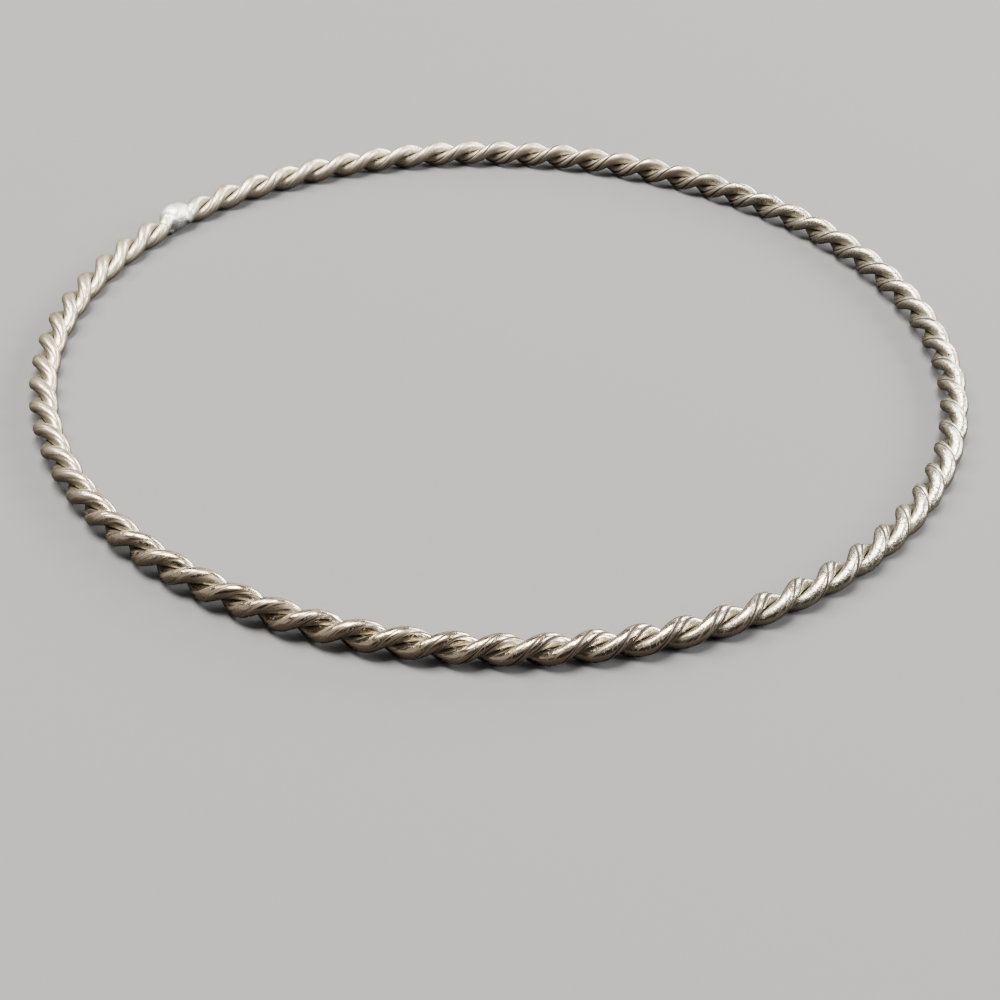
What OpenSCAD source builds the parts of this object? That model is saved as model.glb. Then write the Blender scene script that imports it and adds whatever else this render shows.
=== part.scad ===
// Twisted wire bangle: two round wires laid together like a rope, bent into a
// closed circle and held by one solder joint. It lies flat on z = 0 with its
// middle over the origin, and +Z points up out of the wrist hole.

/* [Bangle] */
// Clear width across the inside, in millimetres
inside_d = 65; // [60:0.5:72]
// Crests round the whole circle, one for each half turn of the twist
crests = 73; // [61:2:75]
// Degrees from +X, turning towards +Y, at which the solder joint sits
joint_at = 145.4; // [0:0.1:360]

/* [Wires] */
// Thickness of each round wire
wire_d = 1; // [0.8:0.05:1.05]
// Clear gap between the two wires, as a share of their thickness
gap_share = 0.1; // [0.1:0.01:0.16]
// Degrees round the rope at which the first wire leaves the joint
start_turn = 315; // [0:45:315]

/* [Solder joint] */
// Thickness of the solder lump at its middle
joint_d = 2.35; // [2.3:0.05:3.6]
// How far the middle of the lump stands to the outside of the bangle
joint_out = 0.2; // [0:0.05:0.4]
// Clear gap between the ends of the wires and the lump
joint_gap = 0.02; // [0.01:0.01:0.06]

/* [Facets] */
// Sides of each wire, an odd number so that a flat one faces the other wire
wire_sides = 9; // [9:2:11]
// Cuts across each wire in one full turn of the twist
cuts_per_turn = 8; // [8:4:12]
// Sides of the solder lump
joint_sides = 24; // [16:4:32]

/* [Hidden] */

WIRE_COLOUR = [0.66, 0.64, 0.58];
SOLDER_COLOUR = [0.84, 0.86, 0.87];

// The twist is hand made, so it runs a little tight and a little slack.
// One row for each slow swing of it round the bangle.
SWINGS = 0;   // column: how many times it swings in one round
SIZE = 1;     // column: how far it moves a crest, in degrees of the round
FROM = 2;     // column: where the swing starts, in degrees
TWIST_DRIFT = [[1, 0.47, -153], [2, 0.90, 26], [3, 0.40, -96]];

wire_r = wire_d / 2;
helix_r = wire_d * (1 + gap_share) / 2;
rope_r = helix_r + wire_r;
ring_r = inside_d / 2 + rope_r;

// The wires stop one crest short of a whole round, and the solder joint fills that place
crest_angle = 360 / crests;
turns_per_round = crests / 2;
wire_turns = turns_per_round - 1 / 2;
pitch = 2 * PI * ring_r / turns_per_round;
lay_angle = atan(2 * PI * helix_r / pitch);

first_end = joint_at + crest_angle / 2;
last_cut = wire_turns * cuts_per_turn;
twist_step = 360 / cuts_per_turn;

// The wires turn round each other but not on themselves, so a side that runs
// straight along its wire falls back this many places at each cut
fall_back = round(wire_sides * cos(lay_angle) / cuts_per_turn);

// Thin disc that stands for one slice of the solder lump, and the number of slices
slice_t = 0.01;
joint_slices = 8;

function total(list, i = 0) = i < len(list) ? list[i] + total(list, i + 1) : 0;

function drift(a) = total([for (row = TWIST_DRIFT) row[SIZE] * sin(row[SWINGS] * a + row[FROM])]);

// Angle round the bangle of one cut across a wire
function cut_angle(cut) =
    let (even = first_end + cut * twist_step / turns_per_round)
    even + drift(even);

// A wire crosses each flat cut at a slant, so a point at angle side_angle on the
// wire's own circle belongs to the twist this many degrees further on
function slant(side_angle) = wire_r * sin(side_angle) * sin(lay_angle) * 360 / pitch;

// Point [outwards, up] from the middle of the rope, in one flat cut
function rope_point(turn, side_angle) =
    let (t = turn + slant(side_angle),
         out = helix_r + wire_r * cos(side_angle),
         along = wire_r * sin(side_angle) * cos(lay_angle))
    [out * cos(t) - along * sin(t), out * sin(t) + along * cos(t)];

function bangle_point(angle, p) =
    [(ring_r + p[0]) * cos(angle), (ring_r + p[0]) * sin(angle), rope_r + p[1]];

function wire_points(phase) = [
    for (cut = [0 : last_cut], side = [0 : wire_sides - 1])
        bangle_point(cut_angle(cut),
                     rope_point(start_turn + phase + cut * twist_step, side * 360 / wire_sides))
];

function corner(cut, side) = cut * wire_sides + (side + wire_sides) % wire_sides;

function wall_faces() = [
    for (cut = [0 : last_cut - 1], side = [0 : wire_sides - 1])
        let (a = corner(cut, side),
             b = corner(cut, side + 1),
             c = corner(cut + 1, side + 1 - fall_back),
             d = corner(cut + 1, side - fall_back))
        each [[a, b, c], [a, c, d]]
];

function end_faces() = [
    [for (side = [wire_sides - 1 : -1 : 0]) side],
    [for (side = [0 : wire_sides - 1]) last_cut * wire_sides + side]
];

module twisted_wire(phase) {
    polyhedron(points = wire_points(phase), faces = concat(wall_faces(), end_faces()), convexity = 20);
}

module first_wire() {
    color(WIRE_COLOUR) twisted_wire(0);
}

// Half a turn round the rope from the first
module second_wire() {
    color(WIRE_COLOUR) twisted_wire(180);
}

// Lump of solder between the ends of the wires: as thick as the rope at its ends,
// thicker in the middle, with its underside level with the rope's
module solder_joint() {
    near_end = cut_angle(0);
    far_end = cut_angle(last_cut) - 360;
    gap_angle = (joint_gap + slice_t / 2) * 180 / (PI * ring_r);
    middle = (near_end + far_end) / 2;
    reach = (near_end - far_end) / 2 - gap_angle;
    color(SOLDER_COLOUR) hull()
        for (i = [0 : joint_slices])
            let (s = 2 * i / joint_slices - 1,
                 r = rope_r + (joint_d / 2 - rope_r) * (1 - s * s))
            rotate([0, 0, middle + s * reach])
                translate([ring_r + joint_out * (1 - s * s), 0, r])
                    rotate([90, 0, 0])
                        cylinder(h = slice_t, r = r, center = true, $fn = joint_sides);
}

first_wire();
second_wire();
solder_joint();
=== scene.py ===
import math
import bmesh
import bpy
from mathutils import Matrix, Quaternion, Vector, noise


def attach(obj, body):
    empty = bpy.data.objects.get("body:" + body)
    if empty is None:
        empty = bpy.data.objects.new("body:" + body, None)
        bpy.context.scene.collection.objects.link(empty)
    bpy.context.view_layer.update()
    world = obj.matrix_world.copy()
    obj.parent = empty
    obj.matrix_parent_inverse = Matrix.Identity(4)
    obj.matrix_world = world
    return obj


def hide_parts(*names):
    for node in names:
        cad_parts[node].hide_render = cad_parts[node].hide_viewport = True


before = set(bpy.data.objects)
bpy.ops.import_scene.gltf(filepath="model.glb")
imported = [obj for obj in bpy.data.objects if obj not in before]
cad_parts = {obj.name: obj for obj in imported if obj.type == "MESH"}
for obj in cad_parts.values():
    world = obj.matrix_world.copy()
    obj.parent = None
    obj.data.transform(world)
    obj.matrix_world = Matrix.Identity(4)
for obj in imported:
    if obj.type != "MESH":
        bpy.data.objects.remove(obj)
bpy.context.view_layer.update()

# One millimetre in metres
MILLIMETRE = 0.001

# Sizes of the bangle in millimetres. Meshes are made in them and end in metres.
INSIDE_WIDTH = 65
CRESTS = 73
ROPE_THICKNESS = 2.1
WIRE_GAP = 0.02
JOINT_PLACE = 145.4
START_TURN = 315
JOINT_THICKNESS = 2.35
JOINT_OUT = 0.2

# Slow swings of the hand-made twist: how many in a round, how many degrees of the
# round they move a crest, and the degree at which they start
TWIST_DRIFT = [
    {"swings": 1, "size": 0.47, "start": -153},
    {"swings": 2, "size": 0.90, "start": 26},
    {"swings": 3, "size": 0.40, "start": -96},
]

rope_radius = ROPE_THICKNESS / 2
wire_radius = (rope_radius - WIRE_GAP / 2) / 2
helix_radius = rope_radius - wire_radius
ring_radius = INSIDE_WIDTH / 2 + rope_radius
turns_per_round = CRESTS / 2
wire_turns = turns_per_round - 1 / 2
turn_length = 2 * math.pi * ring_radius / turns_per_round
crest_length = turn_length / 2
wires_length = wire_turns * turn_length
lay_angle = math.atan(2 * math.pi * helix_radius / turn_length)
first_end = JOINT_PLACE + 180 / CRESTS

WIRE_SIDES = 48
CUTS_PER_TURN = 32

# Dents and waves of a wire twisted by hand: how deep in millimetres, and how close
WAVE = 0.04
WAVE_CLOSENESS = 0.9

# Creases that drawing and twisting have left along each wire. Their side is in degrees
# round the wire from its outermost line, their depth and half width in millimetres and
# degrees. They wander a little, and their depth goes up and down by the swing about its
# middle share. They are deep on the right of the bangle and faint on the left, between
# these two places in millimetres.
CREASES = [
    {"side": -10, "depth": 0.06, "half_width": 20},
    {"side": -75, "depth": 0.12, "half_width": 26},
]
CREASE_WANDER = 14
CREASE_CLOSENESS = 0.35
CREASES_APART = 10
DEPTH_MIDDLE = 0.75
DEPTH_SWING = 0.8
FAINT_AT = -12
DEEP_AT = 10
FAINTEST = 0.35


def turn_about(degrees, axis):
    return Matrix.Rotation(math.radians(degrees), 4, axis)


def shift(x, y, z):
    return Matrix.Translation((x, y, z))


def with_modifier(bm, kind, **settings):
    """A new bmesh: the old one after one modifier."""
    mesh = bpy.data.meshes.new("in work")
    bm.to_mesh(mesh)
    bm.free()
    worked = bpy.data.objects.new("in work", mesh)
    bpy.context.scene.collection.objects.link(worked)
    modifier = worked.modifiers.new(kind.lower(), kind)
    for name, value in settings.items():
        setattr(modifier, name, value)
    result = bmesh.new()
    result.from_object(worked, bpy.context.evaluated_depsgraph_get())
    bpy.data.objects.remove(worked)
    bpy.data.meshes.remove(mesh)
    return result


def straight_wire(radius, start, length, phase):
    """One wire of a straight rope that runs along Y: a circle carried along by a screw.
    Its layer wire_place keeps each point's place on the wire as if that were straight."""
    bm = bmesh.new()
    wire_place = bm.verts.layers.float_vector.new("wire_place")
    bmesh.ops.create_circle(bm, segments=WIRE_SIDES, radius=radius, matrix=turn_about(90, "X"))
    for vert in bm.verts:
        vert[wire_place] = vert.co
    turns = length / turn_length
    start_angle = START_TURN + phase + 360 * start / turn_length
    lean = Matrix.Rotation(lay_angle, 4, "X")
    place = shift(0, start, 0) @ turn_about(-start_angle, "Y") @ shift(helix_radius, 0, 0) @ lean
    bmesh.ops.transform(bm, matrix=place, verts=bm.verts)
    cuts = round(turns * CUTS_PER_TURN)
    bm = with_modifier(bm, "SCREW", axis="Y", angle=-turns * math.tau, screw_offset=length,
                       steps=cuts, render_steps=cuts, use_merge_vertices=False)
    bmesh.ops.holes_fill(bm, edges=bm.edges)
    wire_place = bm.verts.layers.float_vector["wire_place"]
    for vert in bm.verts:
        vert[wire_place].y = vert.co.y / math.cos(lay_angle) + phase
    return bm


def bend_round(bm):
    """Bends a straight rope along Y into the bangle, with its hand-made unevenness."""
    for vert in bm.verts:
        across, along, up = vert.co
        even = first_end + 360 * along / turn_length / turns_per_round
        drift = sum(row["size"] * math.sin(math.radians(row["swings"] * even + row["start"]))
                    for row in TWIST_DRIFT)
        angle = math.radians(even + drift)
        distance = ring_radius + across
        vert.co = (distance * math.cos(angle), distance * math.sin(angle), rope_radius + up)


def uneven(bm, size, closeness, share=lambda vert: 1):
    """Sinks each point a little along its normal, in soft waves."""
    bm.normal_update()
    for vert in bm.verts:
        wave = (noise.noise(vert.co * closeness) - 1) / 2
        vert.co += vert.normal * size * wave * share(vert)


# Where the wires press on each other they have spread: how far in millimetres, and how
# many degrees round the wire from the line of contact. From UNEVEN_FROM degrees on they
# have their full unevenness.
SPREAD = 0.02
SPREAD_AT = 38
SPREAD_HALF_WIDTH = 34
UNEVEN_FROM = 60


def from_contact(place):
    """Degrees round a wire from the line on which it touches the other."""
    return 180 - abs(math.degrees(math.atan2(place.z, place.x)))


def spread_at_contact(bm):
    """Fills out a wire on each side of the line on which it touches the other."""
    wire_place = bm.verts.layers.float_vector["wire_place"]
    bm.normal_update()
    for vert in bm.verts:
        off = abs(from_contact(vert[wire_place]) - SPREAD_AT)
        near = max(1 - off / SPREAD_HALF_WIDTH, 0)
        vert.co += vert.normal * SPREAD * near * near * (3 - 2 * near)


def smooth_step(value, low, high):
    share = min(max((value - low) / (high - low), 0), 1)
    return share * share * (3 - 2 * share)


def crease(bm):
    """Sinks the creases into a wire, and keeps in its layer creased how deep each point is."""
    creased = bm.verts.layers.float.new("creased")
    wire_place = bm.verts.layers.float_vector["wire_place"]
    bm.normal_update()
    for vert in bm.verts:
        place = vert[wire_place]
        side = math.degrees(math.atan2(place.z, place.x))
        strength = FAINTEST + (1 - FAINTEST) * smooth_step(vert.co.x, FAINT_AT, DEEP_AT)
        for number, row in enumerate(CREASES):
            along = Vector((place.y * CREASE_CLOSENESS, CREASES_APART * number, 0))
            middle = row["side"] + CREASE_WANDER * noise.noise(along)
            near = max(1 - abs(side - middle) / row["half_width"], 0) ** 2
            deep = DEPTH_MIDDLE + DEPTH_SWING * noise.noise(along * 2)
            vert.co -= vert.normal * row["depth"] * near * deep * strength
            vert[creased] = max(vert[creased], near * deep * strength)


def finish_piece(bm, name, material, nodes):
    """Turns a bmesh in millimetres into a finished piece that stands for CAD nodes."""
    bmesh.ops.scale(bm, vec=(MILLIMETRE, MILLIMETRE, MILLIMETRE), verts=bm.verts)
    bmesh.ops.recalc_face_normals(bm, faces=bm.faces)
    mesh = bpy.data.meshes.new(name)
    bm.to_mesh(mesh)
    bm.free()
    mesh.materials.append(material)
    mesh.shade_smooth()
    piece = bpy.data.objects.new(name, mesh)
    bpy.context.scene.collection.objects.link(piece)
    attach(piece, "root")
    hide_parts(*nodes)


def laid_wire(phase):
    """One of the two wires of the bangle, with its creases and its unevenness."""
    bm = straight_wire(wire_radius, 0, wires_length, phase)
    bend_round(bm)
    spread_at_contact(bm)
    wire_place = bm.verts.layers.float_vector["wire_place"]
    uneven(bm, WAVE, WAVE_CLOSENESS,
           lambda vert: smooth_step(from_contact(vert[wire_place]), 0, UNEVEN_FROM))
    crease(bm)
    return bm


# The solder lump, and the thin skin of solder that has run a little way along the wires,
# in millimetres
LUMP_LENGTH = 3.1
LUMP_ALONG = -0.15
LUMP_WAVE = 0.14
LUMP_CLOSENESS = 1.3
SKIN = 0.035
SKIN_REACH = 0.35
SKIN_OVERLAP = 0.9
SOLDER_GRAIN = 0.06
SOLDER_SMOOTHING = 5

# The bright patch on the solder is partly its own bright metal and partly a painted
# highlight. It is brightest at this many millimetres along from the middle of the lump, bright
# up to the first reach from there, and as dull as the wires past the second.
BRIGHT_ALONG = 0.45
BRIGHT_REACH = 1
DULL_REACH = 1.4
EDGE_WANDER = 0.3


def join_in(bm, other):
    """Adds another bmesh to this one."""
    mesh = bpy.data.meshes.new("in work")
    other.to_mesh(mesh)
    other.free()
    bm.from_mesh(mesh)
    bpy.data.meshes.remove(mesh)


def solder_lump():
    """A soft lump in the place between the wire ends, run together with them. Its layer
    solder_and_highlight says how bright each point is: bright solder with a painted highlight
    on it. None of it is under the floor."""
    bm = bmesh.new()
    bmesh.ops.create_icosphere(bm, subdivisions=4, radius=1)
    radius = JOINT_THICKNESS / 2
    bmesh.ops.scale(bm, vec=(radius, LUMP_LENGTH / 2, radius), verts=bm.verts)
    middle = (JOINT_OUT, LUMP_ALONG - crest_length / 2, radius - rope_radius)
    bmesh.ops.translate(bm, vec=middle, verts=bm.verts)
    reach = SKIN_REACH + SKIN_OVERLAP
    for phase in (0, 180):
        join_in(bm, straight_wire(wire_radius + SKIN, -SKIN_OVERLAP, reach, phase))
        far = straight_wire(wire_radius + SKIN, wires_length - SKIN_REACH, reach, phase)
        bmesh.ops.translate(far, vec=(0, -wires_length - crest_length, 0), verts=far.verts)
        join_in(bm, far)
    bm = with_modifier(bm, "REMESH", mode="VOXEL", voxel_size=SOLDER_GRAIN)
    for _ in range(SOLDER_SMOOTHING):
        bmesh.ops.smooth_vert(bm, verts=bm.verts, factor=0.5, use_axis_x=True, use_axis_y=True,
                              use_axis_z=True)
    solder_and_highlight = bm.verts.layers.float.new("solder_and_highlight")
    for vert in bm.verts:
        off = abs(vert.co.y - middle[1] - BRIGHT_ALONG) + EDGE_WANDER * noise.noise(vert.co)
        vert[solder_and_highlight] = 1 - smooth_step(off, BRIGHT_REACH, DULL_REACH)
    bend_round(bm)
    uneven(bm, WAVE, WAVE_CLOSENESS)
    uneven(bm, LUMP_WAVE, LUMP_CLOSENESS, lambda vert: vert[solder_and_highlight])
    for vert in bm.verts:
        vert.co.z = max(vert.co.z, 0)
    return bm


def feed(tree, socket, value):
    """Gives a socket its number or colour, or links it to the socket that feeds it."""
    if isinstance(value, bpy.types.NodeSocket):
        tree.links.new(value, socket)
    else:
        socket.default_value = value


def put(tree, kind, label, inputs=None, **settings):
    """Adds a node. Each input, by its name or its number, is given what feeds it."""
    node = tree.nodes.new(kind)
    node.label = label
    for name, value in settings.items():
        setattr(node, name, value)
    for name, value in (inputs or {}).items():
        feed(tree, node.inputs[name], value)
    return node


def math_node(tree, operation, first, second, label):
    return put(tree, "ShaderNodeMath", label, {0: first, 1: second},
               operation=operation).outputs[0]


def times(tree, first, second, label=""):
    return math_node(tree, "MULTIPLY", first, second, label)


def plus(tree, first, second, label=""):
    return math_node(tree, "ADD", first, second, label)


def most(tree, label, first, *others):
    """The largest of some values."""
    for value in others:
        first = math_node(tree, "MAXIMUM", first, value, label)
    return first


def ramp(tree, value, low, high, label, to_low=0, to_high=1):
    """Runs smoothly from to_low to to_high as the value goes from low to high."""
    return put(tree, "ShaderNodeMapRange", label,
               {"Value": value, "From Min": low, "From Max": high,
                "To Min": to_low, "To Max": to_high},
               interpolation_type="SMOOTHSTEP").outputs["Result"]


def mix_colour(tree, share, first, second, label):
    """Mixes two colours: a Mix node's share is its input 0, and its colours are 6 and 7."""
    return put(tree, "ShaderNodeMix", label, {0: share, 6: first, 7: second},
               data_type="RGBA").outputs[2]


def noise_pattern(tree, label, place, closeness, detail=2, roughness=0.5):
    return put(tree, "ShaderNodeTexNoise", label,
               {"Vector": place, "Scale": closeness, "Detail": detail,
                "Roughness": roughness}).outputs["Fac"]


def bump_node(tree, label, height, depth, under=None, strength=1, invert=False):
    """A bump of a depth in metres, over the bump under it."""
    inputs = {"Height": height, "Strength": strength, "Distance": depth}
    if under is not None:
        inputs["Normal"] = under
    return put(tree, "ShaderNodeBump", label, inputs, invert=invert).outputs["Normal"]


def new_group(name, inputs, output):
    """A node group with named inputs and one output, and the sockets of its two ends."""
    group = bpy.data.node_groups.new(name, "ShaderNodeTree")
    for label, value in inputs.items():
        kind = "NodeSocketVector" if value is None else "NodeSocketFloat"
        socket = group.interface.new_socket(label, in_out="INPUT", socket_type=kind)
        if value is not None:
            socket.default_value = value
    group.interface.new_socket(output, in_out="OUTPUT", socket_type="NodeSocketFloat")
    start = group.nodes.new("NodeGroupInput")
    end = group.nodes.new("NodeGroupOutput")
    return group, start.outputs, end.inputs[output]


def place_group(tree, group, label, inputs):
    return put(tree, "ShaderNodeGroup", label, inputs, node_tree=group).outputs[0]


def drawn_lines_group():
    """Lines that run along a wire, Y, from drawing it and from years of wear."""
    group, given, result = new_group(
        "drawn lines", {"Place": None, "Closeness": 5, "Stretch": 22}, "Lines")
    closeness = given["Closeness"]
    along = math_node(group, "DIVIDE", closeness, given["Stretch"], "drawn out")
    scale = put(group, "ShaderNodeCombineXYZ", "drawn out",
                {"X": closeness, "Y": along, "Z": closeness}).outputs[0]
    drawn_out = put(group, "ShaderNodeVectorMath", "drawn out", {0: given["Place"], 1: scale},
                    operation="MULTIPLY").outputs[0]
    feed(group, result, noise_pattern(group, "lines", drawn_out, 1, roughness=0.6))
    return group


# How far the edge of a pit runs from clean to dark, in the noise it is made of
PIT_EDGE = 0.07


def pits_group():
    """Small ragged pits and nicks that have gone dark."""
    group, given, result = new_group(
        "pits", {"Place": None, "Closeness": 5, "Rarity": 0.57}, "Pits")
    rarity = given["Rarity"]
    pattern = noise_pattern(group, "pits", given["Place"], given["Closeness"], roughness=0.55)
    feed(group, result, ramp(group, pattern, rarity, plus(group, rarity, PIT_EDGE), "pits"))
    return group


def cloud_group():
    """Soft uneven clouds, for tarnish and handling marks."""
    group, given, result = new_group("clouds", {"Place": None, "Closeness": 0.8}, "Clouds")
    pattern = noise_pattern(group, "clouds", given["Place"], given["Closeness"], 4, 0.6)
    feed(group, result, ramp(group, pattern, 0.35, 0.7, "clouds"))
    return group


drawn_lines = drawn_lines_group()
pits_and_nicks = pits_group()
clouds = cloud_group()


def new_material(name):
    material = bpy.data.materials.new(name)
    material.use_nodes = True
    return material, material.node_tree, material.node_tree.nodes["Principled BSDF"]


DARK_SILVER = (0.585, 0.49, 0.398, 1)
PALE_SILVER = (0.66, 0.625, 0.548, 1)
OLIVE_TARNISH = (0.42, 0.4, 0.315, 1)
# Near black: grime in the pits and drawn lines, and painted shade in the creases and along the
# line where the wires meet
DIRT_AND_SHADE = (0.03, 0.025, 0.018, 1)

# How much tarnish the clouds bring
HAZE = 0.35

# Places in metres between which the look of the bangle changes. Its front is the darkest
# and smoothest. Towards the right it gets pale, worn and grainy. Towards the left and the
# back it gets satin and a little paler, with little satin where it is worn. The paleness is
# partly wear on the right, and partly painted light: the front is painted darker and the
# sides and back lighter, as the light falls on them.
RIGHT_FROM = 0.004
RIGHT_TO = 0.026
LEFT_FROM = -0.018
LEFT_TO = -0.034
BACK_FROM = -0.012
BACK_TO = 0.02

# Shares of each of these that the left, the back or the worn side gets
LEFT_SATIN = 0.6
LEFT_PALENESS = 0.3
LEFT_TARNISH = 0.4
LEFT_CREASE_SHADE = 0.85
BACK_PALENESS = 0.5
WORN_SATIN = 0.15
WORN_SMOOTHING = 0.7
GROOVE_TARNISH = 0.8

# Where tarnish darkens the groove between the wires, and where painted shade lies along
# the line on which they meet: millimetres from the middle of a wire, with those towards the
# other wire below 0
GROOVE_FROM = -0.05
GROOVE_TO = -0.4
CONTACT_FROM = -0.38
CONTACT_TO = -0.5

# Roughness of clean and of tarnished silver, and what else adds to it
CLEAN_ROUGHNESS = 0.1
TARNISHED_ROUGHNESS = 0.23
WORN_ROUGHNESS = 0.08
SATIN_ROUGHNESS = 0.24
STREAK_ROUGHNESS = 0.1
DIRT_AND_SHADE_ROUGHNESS = 0.4

# Depths of the bumps in metres
LINE_BUMP = 0.000014
DENT_BUMP = 0.00002
GRAIN_BUMP = 0.000024
PIT_BUMP = 0.000008
SOLDER_BUMP = 0.00004


def wear(tree):
    """How worn each place on the bangle is, how far left, how satin and how pale. The paleness is
    partly wear and partly painted light, lighter on the sides and back than at the front.
    """
    on_bangle = put(tree, "ShaderNodeTexCoord", "place on the bangle").outputs["Object"]
    apart = put(tree, "ShaderNodeSeparateXYZ", "right and back", {"Vector": on_bangle}).outputs
    worn = ramp(tree, apart["X"], RIGHT_FROM, RIGHT_TO, "worn right side")
    to_left = ramp(tree, apart["X"], LEFT_FROM, LEFT_TO, "left side")
    to_back = ramp(tree, apart["Y"], BACK_FROM, BACK_TO, "back")
    not_worn = ramp(tree, worn, 0, 1, "less satin where worn", 1, WORN_SATIN)
    satin = most(tree, "satin left and back",
                 times(tree, to_left, LEFT_SATIN), times(tree, to_back, not_worn))
    pale = most(tree, "pale", worn,
                times(tree, to_left, LEFT_PALENESS), times(tree, to_back, BACK_PALENESS))
    return worn, to_left, satin, pale


def pits_in_flocks(tree, place, cloud, worn):
    """Pits, darkest in the clouds and on the worn side."""
    pits = place_group(tree, pits_and_nicks, "pits",
                       {"Place": place, "Closeness": 7, "Rarity": 0.545})
    flocks = ramp(tree, cloud, 0.1, 0.7, "pits in loose flocks", 0.25, 1)
    pitted = times(tree, flocks, ramp(tree, worn, 0, 1, "pitted", 0.5, 1))
    return times(tree, pits, pitted)


def tarnish_on_wire(tree, across, cloud, to_left):
    groove = ramp(tree, across, GROOVE_FROM, GROOVE_TO, "towards the groove",
                  0, GROOVE_TARNISH)
    return most(tree, "tarnish", groove,
                times(tree, cloud, HAZE), times(tree, to_left, LEFT_TARNISH))


def dirt_and_shade_on_wire(tree, across, lines, pits, worn, to_left, satin):
    """Dirt in the pits and the darkest of the drawn lines, and painted shade in the creases and
    where the wires meet.
    """
    creased = put(tree, "ShaderNodeAttribute", "creases", attribute_name="creased").outputs["Fac"]
    left_creases = ramp(tree, to_left, 0, 1, "less dirt in the creases on the left",
                        1, LEFT_CREASE_SHADE)
    # Painted shade: the creases are painted dark
    painted_crease_shade = times(tree, ramp(tree, creased, 0.06, 0.3, "dirt in the creases"), left_creases)
    # Painted shade along the line where the wires meet
    painted_contact_shade = ramp(tree, across, CONTACT_FROM, CONTACT_TO, "dirt where the wires meet")
    smoothed = most(tree, "smoothed", satin, times(tree, worn, WORN_SMOOTHING))
    kept = ramp(tree, smoothed, 0, 1, "lines are worn off left, right and back", 0.6, 0.08)
    in_lines = times(tree, ramp(tree, lines, 0.5, 0.66, "dark lines"), kept)
    return most(tree, "dirt_and_shade", painted_crease_shade, painted_contact_shade, pits, in_lines)


def roughness_of_wire(tree, tarnish, worn, satin, lines, dirt_and_shade):
    rough = ramp(tree, tarnish, 0, 1, "roughness", CLEAN_ROUGHNESS, TARNISHED_ROUGHNESS)
    for label, value, share in (("worn", worn, WORN_ROUGHNESS),
                                ("satin", satin, SATIN_ROUGHNESS),
                                ("streaks", lines, STREAK_ROUGHNESS),
                                ("dirt_and_shade", dirt_and_shade, DIRT_AND_SHADE_ROUGHNESS)):
        rough = plus(tree, rough, times(tree, value, share, label), "rougher with " + label)
    return rough


def bump_of_wire(tree, place, lines, pits, worn):
    """Drawn lines, small dents, grain and pits, one over the other."""
    share = ramp(tree, worn, 0, 1, "lines are deeper where worn", 0.4, 1)
    dents = noise_pattern(tree, "small dents", place, 2.2)
    grain = noise_pattern(tree, "fine grain of the worn side", place, 10)
    bump = bump_node(tree, "drawn lines bump", times(tree, lines, share), LINE_BUMP)
    bump = bump_node(tree, "dent bump", times(tree, dents, share), DENT_BUMP, bump)
    bump = bump_node(tree, "grain bump", times(tree, grain, worn), GRAIN_BUMP, bump)
    return bump_node(tree, "pit bump", pits, PIT_BUMP, bump, invert=True)


def aged_silver():
    material, tree, shader = new_material("aged silver")
    place = put(tree, "ShaderNodeAttribute", "place on the wire",
                attribute_name="wire_place").outputs["Vector"]
    across = put(tree, "ShaderNodeSeparateXYZ", "side of the wire", {"Vector": place}).outputs["X"]
    lines = place_group(tree, drawn_lines, "drawn lines", {"Place": place})
    cloud = place_group(tree, clouds, "tarnish clouds", {"Place": place})
    worn, to_left, satin, pale = wear(tree)
    pits = pits_in_flocks(tree, place, cloud, worn)
    tarnish = tarnish_on_wire(tree, across, cloud, to_left)
    dirt_and_shade = dirt_and_shade_on_wire(tree, across, lines, pits, worn, to_left, satin)

    # Painted light and wear: paler silver on the sides and back, darker silver at the front
    colour = mix_colour(tree, pale, DARK_SILVER, PALE_SILVER, "silver")
    colour = mix_colour(tree, tarnish, colour, OLIVE_TARNISH, "tarnished silver")
    # Near black where there is grime or painted shade
    colour = mix_colour(tree, dirt_and_shade, colour, DIRT_AND_SHADE, "dirt_and_shade")
    feed(tree, shader.inputs["Base Color"], colour)
    feed(tree, shader.inputs["Metallic"], ramp(tree, dirt_and_shade, 0, 1, "dirt is no metal", 1, 0.5))
    feed(tree, shader.inputs["Roughness"],
         roughness_of_wire(tree, tarnish, worn, satin, lines, dirt_and_shade))
    feed(tree, shader.inputs["Normal"], bump_of_wire(tree, place, lines, pits, worn))
    return material


# Near white: the solder's own bright metal with a painted highlight in it
BRIGHT_SOLDER_AND_HIGHLIGHT = (0.95, 0.97, 0.985, 1)
CLOUDED_SOLDER = (0.8, 0.835, 0.86, 1)


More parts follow.
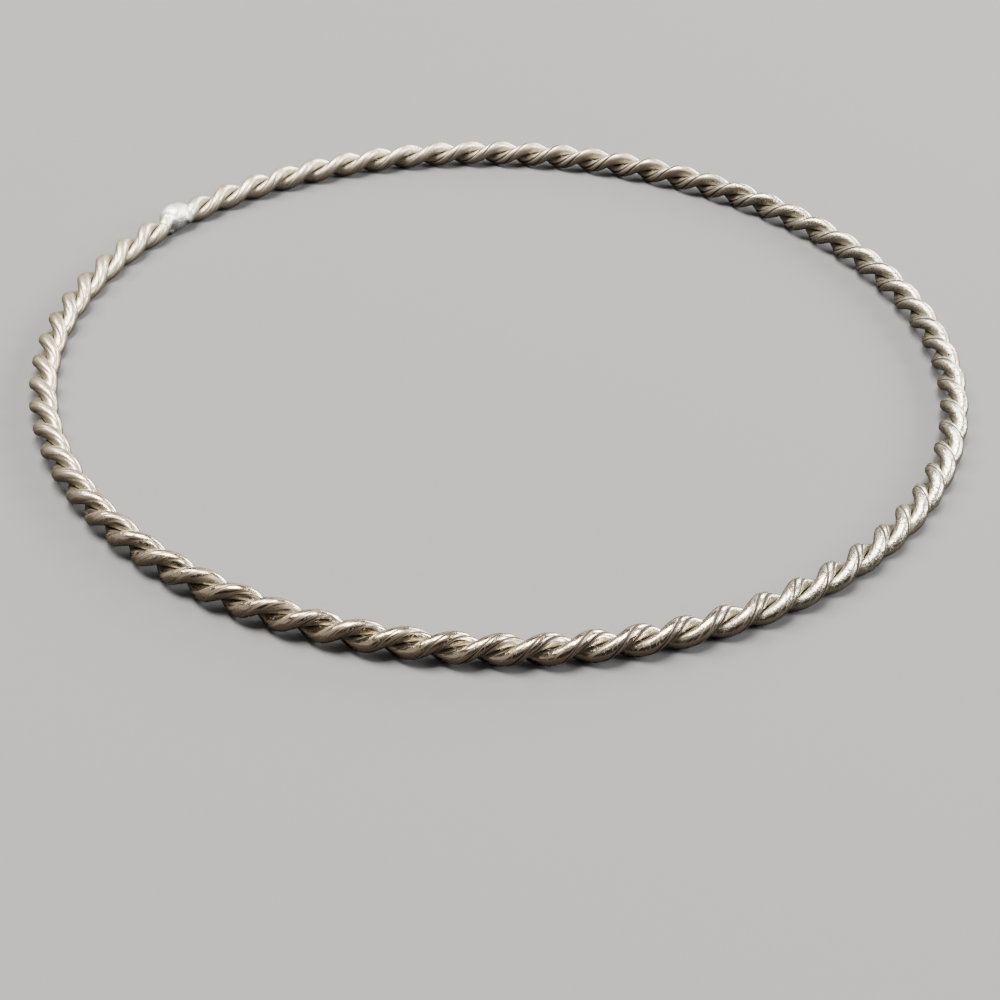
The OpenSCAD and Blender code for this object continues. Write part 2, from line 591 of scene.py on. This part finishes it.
def bright_solder():
    material, tree, shader = new_material("bright solder")
    place = put(tree, "ShaderNodeTexCoord", "place").outputs["Object"]
    place = put(tree, "ShaderNodeVectorMath", "millimetres", {0: place, "Scale": 1 / MILLIMETRE},
                operation="SCALE").outputs[0]
    cloud = place_group(tree, clouds, "clouds", {"Place": place, "Closeness": 1.6})
    pits = place_group(tree, pits_and_nicks, "pits", {"Place": place, "Closeness": 4})
    solder_and_highlight = put(tree, "ShaderNodeAttribute", "bright solder",
                   attribute_name="solder_and_highlight").outputs["Fac"]
    solder = mix_colour(tree, cloud, BRIGHT_SOLDER_AND_HIGHLIGHT, CLOUDED_SOLDER, "solder")
    skin = mix_colour(tree, times(tree, cloud, HAZE), PALE_SILVER, OLIVE_TARNISH,
                      "dull skin on the wires")
    # Painted highlight: bright solder where the lump's brightness layer is high, dull skin
    # elsewhere
    feed(tree, shader.inputs["Base Color"],
         mix_colour(tree, solder_and_highlight, skin, solder, "solder and its skin"))
    feed(tree, shader.inputs["Roughness"], 0.45)
    feed(tree, shader.inputs["Metallic"], 1)
    feed(tree, shader.inputs["Normal"],
         bump_node(tree, "solder skin", pits, SOLDER_BUMP, strength=0.4, invert=True))
    return material


FLOOR_RADIUS = 0.5
FLOOR_PALE = (0.15, 0.157, 0.172, 1)
FLOOR_IN_METAL = (0.006, 0.0035, 0.002, 1)


def pale_floor():
    """A plain pale floor. Seen in the metal it is a warm dark brown."""
    material, tree, shader = new_material("pale floor")
    seen_in_metal = put(tree, "ShaderNodeLightPath", "seen in the metal").outputs["Is Glossy Ray"]
    colour = mix_colour(tree, seen_in_metal, FLOOR_PALE, FLOOR_IN_METAL, "floor")
    feed(tree, shader.inputs["Base Color"], colour)
    feed(tree, shader.inputs["Roughness"], 0.9)
    return material


def studio_floor():
    bm = bmesh.new()
    bmesh.ops.create_circle(bm, cap_ends=True, segments=64, radius=FLOOR_RADIUS)
    mesh = bpy.data.meshes.new("floor")
    bm.to_mesh(mesh)
    bm.free()
    mesh.materials.append(pale_floor())
    floor = bpy.data.objects.new("floor", mesh)
    bpy.context.scene.collection.objects.link(floor)


def soft_light(name, bearing, height, distance, size, brightness, colour):
    """A softbox that faces the bangle. Its bearing is in degrees from straight away from the
    camera towards the right, its height in degrees over the floor. Its brightness is that
    of its face, whatever its size."""
    lamp = bpy.data.lights.new(name, "AREA")
    lamp.shape = "RECTANGLE"
    lamp.size, lamp.size_y = size
    lamp.energy = brightness * math.pi * size[0] * size[1]
    lamp.color = colour
    light = bpy.data.objects.new(name, lamp)
    place = turn_about(-bearing, "Z") @ turn_about(height, "X") @ Vector((0, distance, 0))
    light.location = place
    light.rotation_euler = (-place).to_track_quat("-Z", "Y").to_euler()
    light.visible_camera = False
    bpy.context.scene.collection.objects.link(light)


ROOM = (0.04, 0.0368, 0.0344, 1)
BACKDROP = (0.73, 0.725, 0.715, 1)


def studio_world():
    """A dim warm room. The camera sees it as a plain pale backdrop behind the floor."""
    world = bpy.data.worlds.new("studio")
    world.use_nodes = True
    tree = world.node_tree
    seen = put(tree, "ShaderNodeLightPath", "seen by the camera").outputs["Is Camera Ray"]
    colour = mix_colour(tree, seen, ROOM, BACKDROP, "room")
    feed(tree, tree.nodes["Background"].inputs["Color"], colour)
    bpy.context.scene.world = world


# The camera stands at the photo's angle. The middle of the bangle falls at MIDDLE_AT
# in a frame of 1000 by 1000.
FRAME_WIDTH = 1000
MIDDLE_AT = (500.2, 353.7)
CAMERA_ELEVATION = 32.25
CAMERA_DISTANCE = 140.9
CAMERA_ROLL = 1.62
FOCAL_PIXELS = 1872.4
SENSOR = 36


def photo_camera():
    lens = bpy.data.cameras.new("camera")
    lens.sensor_width = SENSOR
    lens.lens = FOCAL_PIXELS * SENSOR / FRAME_WIDTH
    lens.clip_start = 0.001
    camera = bpy.data.objects.new("camera", lens)
    elevation = math.radians(CAMERA_ELEVATION)
    away = Vector((0, -math.cos(elevation), math.sin(elevation)))
    across = math.atan((MIDDLE_AT[0] - FRAME_WIDTH / 2) / FOCAL_PIXELS)
    down = math.atan((FRAME_WIDTH / 2 - MIDDLE_AT[1]) / FOCAL_PIXELS)
    turn = ((-away).to_track_quat("-Z", "Y")
            @ Quaternion((0, 0, 1), math.radians(CAMERA_ROLL))
            @ Quaternion((1, 0, 0), -down)
            @ Quaternion((0, 1, 0), across))
    camera.location = (away * CAMERA_DISTANCE + Vector((0, 0, rope_radius))) * MILLIMETRE
    camera.rotation_mode = "QUATERNION"
    camera.rotation_quaternion = turn
    bpy.context.scene.collection.objects.link(camera)
    bpy.context.scene.camera = camera


WARM_LIGHT = (1, 0.917, 0.8)
COOL_LIGHT = (1, 0.965, 0.895)

# Name, bearing, height, distance and size in metres, brightness and colour of each light
LIGHTS = [
    ("ceiling", 0, 89.9, 1, (2, 2), 0.38, WARM_LIGHT),
    ("overhead softbox", -20, 84, 0.8, (0.4, 0.4), 40, WARM_LIGHT),
    ("high left softbox", -60, 53, 0.9, (0.34, 0.32), 26, WARM_LIGHT),
    ("right softbox", 90, 30, 0.9, (0.4, 0.4), 22, COOL_LIGHT),
    ("far left softbox", -48, 15, 1, (1.1, 0.5), 0.65, WARM_LIGHT),
    ("far softbox", 28, 15, 1.05, (1.8, 0.5), 1.3, WARM_LIGHT),
    ("far right softbox", 37, 20, 1, (0.4, 0.36), 30, COOL_LIGHT),
    ("low left softbox", -105, 20, 1, (0.9, 0.6), 0.5, WARM_LIGHT),
]

silver = aged_silver()
finish_piece(laid_wire(0), "first_twisted_wire", silver, ["first_wire"])
finish_piece(laid_wire(180), "second_twisted_wire", silver, ["second_wire"])
finish_piece(solder_lump(), "solder_lump", bright_solder(), ["solder_joint"])
studio_floor()
studio_world()
for light in LIGHTS:
    soft_light(*light)
photo_camera()
